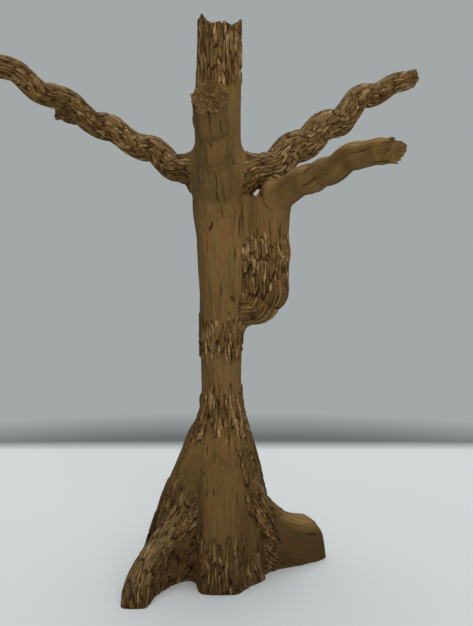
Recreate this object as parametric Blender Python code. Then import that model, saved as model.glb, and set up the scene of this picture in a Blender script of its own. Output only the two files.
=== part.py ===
"""A whole dead tree: an old, thick, nearly straight trunk with its top snapped off, six leafless limbs
and eight surface roots that run out from the foot. All of it is dead wood, part barked and part bare.

Units are metres, +Z is up and +X is the tree's right side seen from its front, which faces -Y.
The origin is the centre of the flat cut under the trunk, at ground level.
Every limb is one closed solid. It is cut clear of what carries it by a hair's breadth."""

import math
from dataclasses import dataclass
from functools import partial

import bmesh
import bpy
from mathutils import Vector

# Driving dimensions. Every length below is a number of trunk widths, so the tree scales with this one.
TRUNK_WIDTH = 1.0
GAP = 0.0005  # clearance between a limb and what carries it
CUTTER_FOOT = -0.4  # how far a cutter or an uncut root reaches below the ground

# The trunk's centre line and radius: height, sideways shift, shift away from the front, radius.
TRUNK_LINE = (
    (0.0, 0.00, 0.00, 0.80),
    (0.6, 0.00, 0.00, 0.69),
    (1.4, 0.00, 0.00, 0.61),
    (2.4, 0.00, 0.02, 0.55),
    (3.4, 0.01, 0.05, 0.51),
    (4.6, 0.03, 0.08, 0.485),
    (5.8, 0.01, -0.05, 0.50),
    (7.0, -0.01, -0.25, 0.51),
    (8.2, -0.02, -0.45, 0.52),
    (9.4, -0.02, -0.58, 0.54),
    (10.6, -0.02, -0.62, 0.51),
    (11.8, -0.01, -0.60, 0.495),
    (12.92, 0.00, -0.55, 0.47),
)
TRUNK_SIDES = 36
TRUNK_RINGS = 46
# Where the trunk has lost its bark: between two heights, over how many degrees of girth round its front.
BARE_STRETCHES = ((1.10, 3.46, 170), (4.47, 5.34, 360), (6.31, 11.60, 360))
BARK_STEP = 0.024  # how far the bark stands out over the bare wood beside it
BARK_EDGE = 0.06  # how wide its broken edge is
BARK_RIBS = (9, 0.014, 0.8, 1.7)  # ribs round the bark: number, height, how far and how fast they wander
SNAP_DEPTH = 0.16  # how far the broken top's splinters rise and dip about its mean height
FLUTES = ((3, 0.030, 0.4), (5, 0.022, 2.1), (7, 0.012, 4.4))  # lobes: number, share of radius, phase
FLUTE_TWIST = 0.35  # radians that the flutes turn in each trunk width along a limb


@dataclass(frozen=True)
class Limb:
    """One bough or stem. Its line starts at a point and follows runs of (length, heading, climb).

    Headings are degrees from +X towards +Y, climbs are degrees above the level."""

    name: str
    carrier: str
    start: tuple
    runs: tuple
    base_radius: float
    tip_radius: float
    collar: float  # how wide the limb flows out over its carrier
    sides: int = 16
    rings: int = 22
    swell: float = 0.0  # share by which the limb thickens half way along
    crook: float = 0.17  # share of a run's rise that comes in each end third of it; 0.3 would be straight
    phase: float = 0.0


BOUGHS = (
    Limb(
        "stem_right", "trunk", (0.20, -0.08, 6.56),
        ((0.68, -10, 5), (0.40, -24, 56), (0.95, -90, 82), (1.30, -95, 73)),
        0.36, 0.50, 0.34, sides=20, rings=20, swell=0.20, crook=0.28, phase=1.3,
    ),
    Limb(
        "bough_front", "trunk", (0.00, -0.50, 8.86),
        ((1.00, -94, 36), (1.08, -92, 34), (1.03, -91, 30), (0.80, -91, 27)),
        0.42, 0.35, 0.30, sides=18, crook=0.22, phase=0.2,
    ),
    Limb(
        "bough_left", "trunk", (-0.05, -0.55, 9.43),
        (
            (0.92, 163, 23), (1.12, 157, 25), (1.10, 168, 28),
            (1.57, -127, 20), (1.27, -143, 24), (0.60, -153, 18),
        ),
        0.31, 0.215, 0.34, rings=34, phase=2.6,
    ),
    Limb(
        "bough_right_high", "trunk", (0.05, -0.55, 9.40),
        (
            (1.03, 15, 18), (1.20, 34, 29), (1.21, 41, 30),
            (1.62, 40, 29), (1.10, 27, 22), (0.42, 20, 14),
        ),
        0.38, 0.215, 0.34, rings=34, swell=0.12, phase=3.9,
    ),
    Limb(
        "bough_right_low", "stem_right", (1.05, -0.70, 8.54),
        (
            (0.75, -60, 56), (1.05, -53, 18), (0.57, -48, 16),
            (1.03, -60, 15), (0.58, -49, 5), (0.30, -42, 0),
        ),
        0.36, 0.25, 0.20, rings=28, phase=5.0,
    ),
    Limb(
        "bough_left_fork", "bough_left", (-2.62, 0.22, 10.74),
        ((1.15, 146, 16), (0.55, 150, 13)),
        0.19, 0.15, 0.18, sides=12, rings=14, phase=0.9,
    ),
)


@dataclass(frozen=True)
class Root:
    """A surface root: a ridge that runs out along a curling heading, falls, and dives at its toe."""

    name: str
    heading: float  # degrees from +X towards +Y
    curl: float  # degrees that the heading turns on the way
    height: float  # the ridge's height where its line leaves the trunk's middle, above where it rests
    length: float  # along the ground
    steepness: float  # how fast the ridge falls: 1 is a straight slope, more hugs the ground sooner
    half_width: float  # at its widest
    toe_half_width: float
    phase: float = 0.0
    rest: float = 0.46  # height of its ridge where it lies along the ground
    shoulder: float = 1.0  # more than 1 holds the ridge high by the trunk before it falls
    bluntness: float = 7.0  # how suddenly its toe dives


ROOTS = (
    Root("root_front", -90, 0, 3.20, 1.54, 0.95, 0.48, 0.46, 0.5, bluntness=12),
    Root("root_left", 170, -20, 3.60, 2.20, 1.50, 0.46, 0.24, 1.7, shoulder=1.9),
    Root("root_right", 4, 30, 3.50, 2.66, 2.80, 0.43, 0.42, 2.9, rest=1.04, bluntness=30),
    Root("root_back_left", 130, -12, 3.70, 2.20, 1.45, 0.42, 0.24, 4.1, shoulder=1.6),
    Root("root_back_right", 48, 14, 3.80, 2.20, 1.60, 0.42, 0.25, 5.3, shoulder=1.8),
    Root("root_back", 90, 16, 3.20, 2.00, 1.50, 0.38, 0.24, 0.1),
    Root("root_left_front", 184, 90, 2.40, 3.24, 1.90, 0.40, 0.29, 3.3, rest=0.52, bluntness=18),
    Root("root_right_front", -40, -14, 2.90, 1.35, 1.30, 0.38, 0.28, 2.2),
)
ROOT_DIVE = 0.20  # how far below the ground its ridge goes before it is cut at ground level
ROOT_NECK = 0.60  # a root's half width at the trunk's middle, as a share of its widest
ROOT_SKIRT = 0.35  # share by which a root widens from its shoulders down to the ground
ROOT_ARC = 9  # points over the back of a root
ROOT_SIDE = 4  # points down each side of it
ROOT_RINGS = 20


def between(a, b, c, d, t):
    """The value at share t of the way from b to c on a Catmull-Rom curve through a, b, c and d."""
    return 0.5 * (2 * b + (c - a) * t + (2 * a - 5 * b + 4 * c - d) * t**2 + (3 * (b - c) + d - a) * t**3)


def smooth_line(corners, count):
    """Points at even steps of length along a smooth curve through corners. A corner is (point, radius)."""
    padded = [corners[0], *corners, corners[-1]]
    fine = []
    for a, b, c, d in zip(padded, padded[1:], padded[2:], padded[3:]):
        fine.extend(between(a, b, c, d, k / 12) for k in range(12))
    fine.append(corners[-1].copy())
    lengths = [0.0]
    for a, b in zip(fine, fine[1:]):
        lengths.append(lengths[-1] + (b.xyz - a.xyz).length)
    line, k = [], 0
    for n in range(count):
        wanted = lengths[-1] * n / (count - 1)
        while k < len(fine) - 2 and lengths[k + 1] < wanted:
            k += 1
        share = (wanted - lengths[k]) / max(lengths[k + 1] - lengths[k], 1e-9)
        line.append(fine[k].lerp(fine[k + 1], min(share, 1.0)))
    return line


def limb_line(limb):
    """A limb's line as (x, y, z, radius) vectors. It climbs by steps: flatter at each joint of two runs,
    where it has a knuckle, and steeper between them."""
    whole = sum(run[0] for run in limb.runs)
    point, gone = Vector(limb.start), 0.0
    corners = [Vector((*point, limb.base_radius))]
    for number, (length, heading, climb) in enumerate(limb.runs):
        crook = limb.crook + 0.05 * math.sin(2.4 * number + limb.phase)
        turn, rise = math.radians(heading), math.radians(climb)
        level = length * math.cos(rise)
        along = Vector((math.cos(turn) * level, math.sin(turn) * level, math.sin(rise) * length))
        for part, climbed, knuckle in ((0.3, crook, 0.98), (0.7, 1 - crook, 0.98), (1.0, 1.0, 1.04)):
            share = (gone + part * length) / whole
            radius = limb.base_radius + (limb.tip_radius - limb.base_radius) * share
            radius *= knuckle * (1 + limb.swell * math.sin(math.pi * share))
            place = point + Vector((along.x * part, along.y * part, along.z * climbed))
            corners.append(Vector((*place, radius)))
        point = point + along
        gone += length
    return smooth_line([c * TRUNK_WIDTH for c in corners], limb.rings)


def root_rings(root, grow):
    """Upright rings along a root, from the trunk's middle to its toe. Each is an arch on legs."""
    point, rings = Vector((0.0, 0.0)), []
    for k in range(ROOT_RINGS):
        t = k / (ROOT_RINGS - 1)
        turn = math.radians(root.heading + root.curl * t)
        ahead = Vector((math.cos(turn), math.sin(turn)))
        if k:
            point = point + ahead * root.length / (ROOT_RINGS - 1)
        dive = t**root.bluntness
        top = root.height * (1 - t**root.shoulder) ** root.steepness
        top += root.rest * (1 - dive) - ROOT_DIVE * dive
        neck = ROOT_NECK + (1 - ROOT_NECK) * math.sin(math.pi / 2 * min(t / 0.35, 1))
        narrowing = root.half_width - root.toe_half_width
        half = root.half_width * neck - narrowing * max(0.0, (t - 0.35) / 0.65)
        centre = Vector((point.x, point.y, top - half)) * TRUNK_WIDTH
        across = Vector((-ahead.y, ahead.x, 0.0))
        rings.append(arch(centre, across, half * TRUNK_WIDTH, root, t, grow))
    return rings


def arch(centre, across, half, root, t, grow):
    """A ring of points: a half circle over the centre, and two legs that widen down to below the ground."""
    ring = []
    foot = CUTTER_FOOT * TRUNK_WIDTH
    for n in range(ROOT_ARC):
        angle = math.pi * n / (ROOT_ARC - 1)
        reach = half * (1 + fluting(angle, t * root.length, root.phase)) + grow
        ring.append(centre + across * math.cos(angle) * reach + Vector((0, 0, math.sin(angle) * reach)))
    down_and_up = ((ring[-1], -1, range(1, ROOT_SIDE + 1)), (ring[0], 1, range(ROOT_SIDE, 0, -1)))
    for shoulder, sign, order in down_and_up:
        for n in order:
            down = n / ROOT_SIDE
            wider = across * sign * ROOT_SKIRT * half * down**1.5
            ring.append(shoulder + wider + Vector((0, 0, min(foot - shoulder.z, -0.01) * down)))
    return ring


def trunk_at(height):
    """The trunk's centre and radius at a height."""
    levels = [TRUNK_WIDTH * row[0] for row in TRUNK_LINE]
    height = min(max(height, levels[0]), levels[-1])
    k = max(i for i, level in enumerate(levels[:-1]) if level <= height)
    t = (height - levels[k]) / (levels[k + 1] - levels[k])
    before, after = TRUNK_LINE[max(k - 1, 0)], TRUNK_LINE[min(k + 2, len(TRUNK_LINE) - 1)]
    rows = zip(before[1:], TRUNK_LINE[k][1:], TRUNK_LINE[k + 1][1:], after[1:])
    x, y, radius = (TRUNK_WIDTH * between(a, b, c, d, t) for a, b, c, d in rows)
    return x, y, radius


def fluting(angle, along, phase):
    """The share by which a limb's radius departs from round at an angle and a distance along it."""
    turned = angle + FLUTE_TWIST * along / TRUNK_WIDTH
    return sum(size * math.sin(lobes * turned + shift + phase) for lobes, size, shift in FLUTES)


def bark_left(angle, height):
    """How much of the trunk's bark is left at an angle and a height: 1 is all of it and 0 is none."""
    aside = abs((math.degrees(angle) + 270) % 360 - 180)
    left = 1.0
    for low, high, spread in BARE_STRETCHES:
        depth = min(height - low, high - height)
        if spread < 360:
            depth = min(depth, math.radians(spread / 2 - aside) * TRUNK_WIDTH / 2)
        left = min(left, max(0.5 - depth / BARK_EDGE, 0.0))
    return left


def trunk_surface(angle, height):
    """The distance from the trunk's centre line to its bark or bare wood, at an angle and a height."""
    level = height / TRUNK_WIDTH
    bark = bark_left(angle, level)
    count, rib, wander, pace = BARK_RIBS
    turned = angle + FLUTE_TWIST * level + wander * math.sin(pace * level) / count
    step = BARK_STEP * (bark - 0.5) + rib * math.sin(count * turned) * bark
    return trunk_at(height)[2] * (1 + fluting(angle, height, 0.0)) + step * TRUNK_WIDTH


def ring_frames(line):
    """For each point of a line, two vectors across it that turn with it and don't twist."""
    frames = []
    ahead = (line[1].xyz - line[0].xyz).normalized()
    side = ahead.cross(Vector((0, 0, 1)))
    side = side.normalized() if side.length > 0.1 else Vector((1, 0, 0))
    for k, point in enumerate(line):
        before, after = line[max(k - 1, 0)], line[min(k + 1, len(line) - 1)]
        along = (after.xyz - before.xyz).normalized()
        side = (ahead.rotation_difference(along) @ side).normalized()
        side = (side - along * side.dot(along)).normalized()
        frames.append((side, along.cross(side)))
        ahead = along
    return frames


def outside_trunk(point):
    """How far a point is outside the trunk's bark. It is negative inside."""
    x, y, _ = trunk_at(point.z)
    away = Vector((point.x - x, point.y - y))
    return away.length - trunk_surface(math.atan2(away.y, away.x), point.z)


def outside_line(line):
    """A function that says how far a point is outside the limb round this line."""

    def distance(point):
        return min((point - place.xyz).length - place.w for place in line)

    return distance


def collar_growth(gap, width):
    """How much a limb's radius grows at this distance from its carrier, so that it flows out over it."""
    if gap < 0:
        return 0.5 * width * max(0.0, 1 + 2 * gap / width)
    return 0.5 * width * max(0.0, 1 - gap / width) ** 2


def face_outwards(mesh):
    """Turns every face of a closed bmesh to point out of it."""
    bmesh.ops.recalc_face_normals(mesh, faces=mesh.faces)
    if mesh.calc_volume(signed=True) < 0:
        bmesh.ops.reverse_faces(mesh, faces=mesh.faces)


def tube(rings):
    """A closed bmesh through rings of points, from a flat base to a point in the hollow of the break."""
    mesh = bmesh.new()
    made = bmesh.ops.create_circle(mesh, cap_ends=False, segments=len(rings[0]), radius=1.0)
    ring = made["verts"]
    for vert, place in zip(ring, rings[0]):
        vert.co = place
    edges = list(mesh.edges)
    bmesh.ops.edgeloop_fill(mesh, edges=edges)
    for places in rings[1:]:
        grown = bmesh.ops.extrude_edge_only(mesh, edges=edges)
        fresh = [item for item in grown["geom"] if isinstance(item, bmesh.types.BMVert)]
        edges = [item for item in grown["geom"] if isinstance(item, bmesh.types.BMEdge)]
        for vert, place in zip(fresh, places):
            vert.co = place
    # The hollow of the break runs in to a point.
    grown = bmesh.ops.extrude_edge_only(mesh, edges=edges)
    fresh = [item for item in grown["geom"] if isinstance(item, bmesh.types.BMVert)]
    middle = sum((vert.co for vert in fresh), Vector()) / len(fresh)
    bmesh.ops.pointmerge(mesh, verts=fresh, merge_co=middle)
    # One fixed diagonal in each face, so that a limb and its grown cutter bend along the same lines.
    bmesh.ops.triangulate(mesh, faces=list(mesh.faces), quad_method="FIXED", ngon_method="EAR_CLIP")
    face_outwards(mesh)
    return mesh


def limb_rings(line, limb, outside, grow):
    """Rings of points round a line. Near its carrier each point moves out, so the limb has a collar."""
    rings, gone = [], 0.0
    width = limb.collar * TRUNK_WIDTH
    for k, (place, (side, up)) in enumerate(zip(line, ring_frames(line))):
        if k:
            gone += (place.xyz - line[k - 1].xyz).length
        ring = []
        collar_share = min(gone / width, 1.0)  # the collar grows from nothing at the buried base
        for n in range(limb.sides):
            angle = math.tau * n / limb.sides
            out = side * math.cos(angle) + up * math.sin(angle)
            base = place.w * (1 + fluting(angle, gone, limb.phase))
            reach = base
            for _ in range(5):
                growth = collar_share * collar_growth(outside(place.xyz + out * reach), width)
                reach = base + 0.5 * (reach - base) + 0.5 * growth
            ring.append(place.xyz + out * (reach + grow))
        rings.append(ring)
    return snapped(rings, line, limb.phase, grow)


def snapped(rings, line, phase, grow):
    """The rings with the tip broken off at a slant, and a hollow ring inside it."""
    ahead = (line[-1].xyz - line[-2].xyz).normalized()
    centre, radius = line[-1].xyz, line[-1].w
    sides = len(rings[-1])
    for n in range(sides):
        angle = math.tau * n / sides
        slant = 0.30 * math.sin(angle + phase) + 0.16 * math.sin(3 * angle + 2 * phase)
        rings[-1][n] = rings[-1][n] + ahead * (slant * radius + grow)
    hollow = ahead * (0.5 * grow - 0.10 * radius)
    inner = [centre.lerp(point, 0.5) + hollow for point in rings[-1]]
    return [*rings, inner]


def trunk_heights(top):
    """Where the trunk has rings: at even steps, and on both sides of each edge of its bark."""
    edges = [height * TRUNK_WIDTH for low, high, _ in BARE_STRETCHES for height in (low, high)]
    step, half = top / (TRUNK_RINGS - 1), BARK_EDGE * TRUNK_WIDTH / 2
    even = [step * k for k in range(TRUNK_RINGS)]
    kept = [height for height in even if all(abs(height - edge) > half + step / 3 for edge in edges)]
    return sorted(kept + [edge + side for edge in edges for side in (-half, half)])


def trunk_rings(grow, foot):
    """The trunk's level rings, from its foot to its snapped top, with a hollow ring inside the break."""
    top = TRUNK_LINE[-1][0] * TRUNK_WIDTH
    heights = trunk_heights(top)
    if foot < 0:
        heights = [foot, *heights]
    rings = []
    for height in heights:
        x, y, _ = trunk_at(height)
        ring = []
        for n in range(TRUNK_SIDES):
            angle = math.tau * n / TRUNK_SIDES
            reach = trunk_surface(angle, max(height, 0.0)) + grow
            ring.append(Vector((x + math.cos(angle) * reach, y + math.sin(angle) * reach, height)))
        rings.append(ring)
    x, y, _ = trunk_at(top)
    for n, point in enumerate(rings[-1]):
        angle = math.tau * n / TRUNK_SIDES
        splinter = 0.6 * math.sin(2 * angle + 0.8) + 0.4 * math.sin(5 * angle + 2.0)
        point.z += SNAP_DEPTH * TRUNK_WIDTH * splinter + grow
    middle = Vector((x, y, top - 0.12 * TRUNK_WIDTH))
    inner = [middle.lerp(point, 0.5) for point in rings[-1]]
    return [*rings, inner]


def level_with_ground(mesh):
    """Cuts a root off flat at ground level."""
    everything = list(mesh.verts) + list(mesh.edges) + list(mesh.faces)
    bmesh.ops.bisect_plane(mesh, geom=everything, plane_no=(0, 0, -1), clear_outer=True)
    rim = [edge for edge in mesh.edges if edge.is_boundary]
    bmesh.ops.edgeloop_fill(mesh, edges=rim)
    face_outwards(mesh)


def add_object(name, mesh, material=None):
    """Links a bmesh to the scene as an object, and frees the bmesh."""
    data = bpy.data.meshes.new(name)
    mesh.to_mesh(data)
    mesh.free()
    obj = bpy.data.objects.new(name, data)
    bpy.context.scene.collection.objects.link(obj)
    if material:
        data.materials.append(material)
        data.shade_smooth()
        data.set_sharp_from_angle(angle=math.radians(40))
    return obj


def keep_largest_piece(data):
    """Drops the scraps that a cut leaves, keeping the piece with the most corners."""
    mesh = bmesh.new()
    mesh.from_mesh(data)
    left, pieces = set(mesh.verts), []
    while left:
        seed = left.pop()
        piece, edge_of_search = {seed}, [seed]
        while edge_of_search:
            for edge in edge_of_search.pop().link_edges:
                for vert in edge.verts:
                    if vert in left:
                        left.discard(vert)
                        piece.add(vert)
                        edge_of_search.append(vert)
        pieces.append(piece)
    pieces.sort(key=len)
    scraps = [vert for piece in pieces[:-1] for vert in piece]
    bmesh.ops.delete(mesh, geom=scraps, context="VERTS")
    bmesh.ops.dissolve_degenerate(mesh, edges=list(mesh.edges), dist=2e-5)
    mesh.to_mesh(data)
    mesh.free()


def cut_clear(obj, cutters):
    """Cuts the object clear of each cutter, and keeps its main piece.

    EXACT loses or misses parts where several limbs cross one another, so the cuts use MANIFOLD."""
    for cutter in cutters:
        cut = obj.modifiers.new("clear_of_" + cutter.name, "BOOLEAN")
        cut.operation = "DIFFERENCE"
        cut.solver = "MANIFOLD"
        cut.object = cutter
    bpy.context.view_layer.update()
    graph = bpy.context.evaluated_depsgraph_get()
    data = bpy.data.meshes.new_from_object(obj.evaluated_get(graph))
    obj.modifiers.clear()
    obj.data = data
    keep_largest_piece(data)


def near(first, second):
    """Whether the boxes of two objects overlap."""
    for axis in range(3):
        spans = [[(o.matrix_world @ Vector(c))[axis] for c in o.bound_box] for o in (first, second)]
        if min(spans[0]) > max(spans[1]) or min(spans[1]) > max(spans[0]):
            return False
    return True


def wood_material(name, colour, roughness):
    """A plain dull material: dead wood or bark."""
    material = bpy.data.materials.new(name)
    material.use_nodes = True
    shader = material.node_tree.nodes["Principled BSDF"]
    shader.inputs["Base Color"].default_value = (*colour, 1.0)
    shader.inputs["Roughness"].default_value = roughness
    shader.inputs["Metallic"].default_value = 0.0
    return material


def build_trunk(material):
    """Adds the trunk, and returns the cutter that clears its limbs of it."""
    add_object("trunk", tube(trunk_rings(0.0, 0.0)), material)
    return add_object("cutter_trunk", tube(trunk_rings(GAP, CUTTER_FOOT)))


def build_piece(name, rings_at, material, earlier, on_ground=False):
    """Adds a limb or root cut clear of the earlier ones, and returns its own cutter. rings_at gives its rings
    at a growth."""
    mesh = tube(rings_at(0.0))
    if on_ground:
        level_with_ground(mesh)
    piece = add_object(name, mesh, material)
    cutter = add_object("cutter_" + name, tube(rings_at(GAP)))
    bpy.context.view_layer.update()
    cut_clear(piece, [other for other in earlier if near(piece, other)])
    return cutter


def build_tree():
    """Builds every piece in order, each cut clear of those before it."""
    bark = wood_material("bark", (0.13, 0.085, 0.035), 0.95)
    bare = wood_material("bare_wood", (0.17, 0.105, 0.04), 0.80)
    bare_limbs = {"bough_right_low", "bough_front", "root_right"}
    cutters, lines = [build_trunk(bark)], {}
    for limb in BOUGHS:
        line = limb_line(limb)
        lines[limb.name] = line
        outside = outside_trunk if limb.carrier == "trunk" else outside_line(lines[limb.carrier])
        rings_at = partial(limb_rings, line, limb, outside)
        material = bare if limb.name in bare_limbs else bark
        cutters.append(build_piece(limb.name, rings_at, material, cutters))
    for root in ROOTS:
        rings_at = partial(root_rings, root)
        material = bare if root.name in bare_limbs else bark
        cutters.append(build_piece(root.name, rings_at, material, cutters, on_ground=True))
    for cutter in cutters:
        bpy.data.objects.remove(cutter)


def main():
    """Clears the scene and builds the tree."""
    for obj in list(bpy.data.objects):
        bpy.data.objects.remove(obj)
    build_tree()


main()
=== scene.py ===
"""The looks of a whole dead tree: a thick snapped trunk, leafless boughs, and roots that run out over the
ground.

Units are metres, +Z is up and the tree's front faces -Y. Every limb is one closed skin of wood, part barked
and part bare, that is rolled round the same line as the solid it stands for. Where two limbs meet, their
skins flow into one another. The bark's plates, the flutes, cracks and knots of the bare wood and the
splinters of the breaks are modelled."""

import itertools
import logging
import math
from abc import ABC, abstractmethod
from dataclasses import dataclass, field
from enum import Enum

import bmesh
import bpy
import numpy as np
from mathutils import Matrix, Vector

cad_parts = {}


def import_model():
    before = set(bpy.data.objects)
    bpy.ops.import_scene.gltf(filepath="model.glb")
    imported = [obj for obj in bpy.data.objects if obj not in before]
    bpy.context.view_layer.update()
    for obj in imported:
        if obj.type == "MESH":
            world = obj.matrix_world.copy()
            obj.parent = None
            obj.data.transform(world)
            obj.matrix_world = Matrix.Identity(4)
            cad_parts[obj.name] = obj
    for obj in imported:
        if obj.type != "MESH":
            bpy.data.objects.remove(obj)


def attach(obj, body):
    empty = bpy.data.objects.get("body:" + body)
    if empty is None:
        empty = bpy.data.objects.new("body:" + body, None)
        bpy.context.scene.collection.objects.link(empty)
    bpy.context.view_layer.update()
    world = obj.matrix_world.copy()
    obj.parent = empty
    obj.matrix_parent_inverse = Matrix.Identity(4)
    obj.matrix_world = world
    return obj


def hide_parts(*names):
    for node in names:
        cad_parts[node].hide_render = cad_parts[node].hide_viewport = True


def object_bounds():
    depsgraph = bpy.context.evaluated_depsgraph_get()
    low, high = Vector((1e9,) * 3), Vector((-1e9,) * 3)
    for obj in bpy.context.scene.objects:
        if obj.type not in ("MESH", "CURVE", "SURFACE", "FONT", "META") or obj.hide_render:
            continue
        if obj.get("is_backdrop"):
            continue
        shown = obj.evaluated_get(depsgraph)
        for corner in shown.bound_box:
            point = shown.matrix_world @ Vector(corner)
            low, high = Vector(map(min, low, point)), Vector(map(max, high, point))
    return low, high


LOG = logging.getLogger("dead_tree")
Array = np.ndarray
Colour = tuple[int, int, int]
Socket = bpy.types.NodeSocket
Given = Socket | float | tuple[float, ...]  # what an input of a node takes: a link or a value

FLUTES = ((3, 0.030, 0.4), (5, 0.022, 2.1), (7, 0.012, 4.4))  # lobes round a limb, share of radius, phase
FLUTE_TWIST = 0.35  # radians that the flutes turn in each metre
BARK_RIBS = (9, 0.014, 0.8, 1.7)  # ribs round the trunk's bark: number, height, how far and fast they wander
FAR_OFF = 9.0  # metres: the distance given to whatever is plainly far from a limb
NEARBY = 1.2  # metres beyond a limb's line within which a distance to it is worked out
BUNDLE, THREAD = 0.075, 0.026  # how thick the bundles and threads of splintered wood are
DISH, BUNDLE_DROP, THREAD_DROP = 0.14, 0.22, 0.09  # how far a break is dished and they sink, in radii
PAINTED_SHADE_LAYERS = ((0.28, 8.4, 6.6), (0.72, 4.2, 0.2))  # painted shade, darker towards the bottom: each layer's share, and the heights where it begins and is full
STRAY_ACROSS, STRAY_ALONG = 0.40, 0.45  # how far a cell's middle may stray from its lattice, in cells
SKIRT_DROP, SKIRT_CURVE = 0.4, 1.5  # how far down and how sharply a root's flanks widen


# --------------------------------------------------------------------------------------------------
# Patterns over a surface
# --------------------------------------------------------------------------------------------------


def scatter(cells: tuple[Array, ...], seed: int) -> Array:
    """Deals a number to each cell of a lattice, always the same one to the same cell.

    Args:
        cells: The whole-numbered places of the cells, one array for each axis.
        seed: Which deal it is.

    Returns:
        Numbers from 0 to 1.
    """
    mask = np.uint64(0xFFFFFFFF)  # words of 32 bits, stirred by two large odd multipliers
    mixed = np.full(np.shape(cells[0]), (seed * 0x9E3779B1 + 0x7F4A7C15) & 0xFFFFFFFF, dtype=np.uint64)
    for cell in cells:
        mixed = ((mixed ^ (cell.astype(np.int64).astype(np.uint64) & mask)) * np.uint64(0x85EBCA6B)) & mask
        mixed ^= mixed >> np.uint64(13)
        mixed = (mixed * np.uint64(0xC2B2AE35)) & mask
        mixed ^= mixed >> np.uint64(16)
    return mixed / float(2**32)


def ripple(points: Array, seed: int) -> Array:
    """Smooth noise in space.

    Args:
        points: Places, with the axes last, one lattice cell to a unit.
        seed: Which noise it is.

    Returns:
        Numbers from -1 to 1.
    """
    floor = np.floor(points)
    part = points - floor
    ease = part**3 * (part * (part * 6 - 15) + 10)
    total = np.zeros(points.shape[:-1])
    for corner in itertools.product((0, 1), repeat=points.shape[-1]):
        share = np.ones(points.shape[:-1])
        for axis, far in enumerate(corner):
            share = share * (ease[..., axis] if far else 1 - ease[..., axis])
        total += share * scatter(tuple(floor[..., axis] + far for axis, far in enumerate(corner)), seed)
    return 2 * total - 1


def step_up(low: float, high: float, value: Array) -> Array:
    """A smooth step from 0 at low to 1 at high."""
    part = np.clip((value - low) / (high - low), 0, 1)
    return part * part * (3 - 2 * part)


@dataclass
class Cells:
    """Cells scattered over a surface, as each of its points sees them."""

    edge: Array  # 0 on the border between two cells, growing towards a cell's middle
    number: Array  # the same whole number all over a cell
    tone: Array  # a number from 0 to 1, the same all over a cell
    level: Array  # another
    aside: Array  # how many cells across lie between the point and its cell's middle
    ahead: Array  # and how many along


def lay_cells(across: Array, along: Array, columns: int, seed: int) -> Cells:
    """Finds which cell each point of a surface lies in.

    Args:
        across: The way across the surface, in cells.
        along: The way along it, in cells.
        columns: After how many cells the pattern meets itself on the way across, or 0 where it never does.
        seed: Which pattern it is.

    Returns:
        The cells as the points see them.
    """
    column, row = np.floor(across), np.floor(along)
    first, second = np.full(across.shape, FAR_OFF), np.full(across.shape, FAR_OFF)
    own_column, own_row, own_aside, own_ahead = (np.zeros(across.shape) for _ in range(4))
    for aside, ahead in itertools.product((-1, 0, 1), repeat=2):
        there = column + aside
        key = np.mod(there, columns) if columns else there
        cell = (key, row + ahead)
        off_across = across - there - 0.5 - STRAY_ACROSS * (2 * scatter(cell, seed) - 1)
        off_along = along - cell[1] - 0.5 - STRAY_ALONG * (2 * scatter(cell, seed + 1) - 1)
        far = np.hypot(off_across, off_along)
        closer = far < first
        second = np.where(closer, first, np.minimum(second, far))
        own_column, own_row = np.where(closer, key, own_column), np.where(closer, cell[1], own_row)
        own_aside = np.where(closer, off_across, own_aside)
        own_ahead = np.where(closer, off_along, own_ahead)
        first = np.minimum(first, far)
    own = (own_column, own_row)
    number = ((own_column + 4096) * 65536 + own_row + 4096).astype(np.int64)  # both may be negative
    tone, level = scatter(own, seed + 2), scatter(own, seed + 3)
    return Cells(second - first, number, tone, level, own_aside, own_ahead)


def fluting(angle: Array, along: Array, phase: float) -> Array:
    """The share by which a limb departs from round at an angle and a distance along it."""
    turned = angle + FLUTE_TWIST * along
    return sum(size * np.sin(lobes * turned + shift + phase) for lobes, size, shift in FLUTES)


def between(a: Array, b: Array, c: Array, d: Array, t: Array) -> Array:
    """The values at share t of the way from b to c on a Catmull-Rom curve through a, b, c and d."""
    return 0.5 * (2 * b + (c - a) * t + (2 * a - 5 * b + 4 * c - d) * t**2 + (3 * (b - c) + d - a) * t**3)


def smooth_curve(corners: Array, count: int) -> Array:
    """Draws a smooth curve through corners and walks along it in even steps.

    Args:
        corners: One row for each corner: its place, and then any values that change along the curve.
        count: How many points to take.

    Returns:
        One row for each point.
    """
    padded = np.vstack((corners[:1], corners, corners[-1:]))
    a, b, c, d = (padded[k : len(padded) - 3 + k, None, :] for k in range(4))
    t = (np.arange(12) / 12)[None, :, None]  # twelve fine steps from each corner to the next
    fine = np.vstack((between(a, b, c, d, t).reshape(-1, corners.shape[1]), corners[-1:]))
    gone = np.concatenate(([0.0], np.cumsum(np.linalg.norm(np.diff(fine[:, :3], axis=0), axis=1))))
    wanted = np.linspace(0, gone[-1], count)
    return np.stack([np.interp(wanted, gone, values) for values in fine.T], axis=1)


def beside(points: Array, line: Array, axes: int) -> Array:
    """Tells which points lie within NEARBY of the box round a line, on its first axes."""
    low, high = line[:, :axes].min(axis=0) - NEARBY, line[:, :axes].max(axis=0) + NEARBY
    return np.all((points[:, :axes] > low) & (points[:, :axes] < high), axis=1)


# --------------------------------------------------------------------------------------------------
# Finishes
# --------------------------------------------------------------------------------------------------


def linear(colour: Colour) -> tuple[float, float, float, float]:
    """Turns a colour of 0 to 255 as a screen shows it into the linear one that a shader takes."""
    parts = [value / 255 for value in colour]
    return (*(p / 12.92 if p <= 0.04045 else ((p + 0.055) / 1.055) ** 2.4 for p in parts), 1.0)


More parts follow.
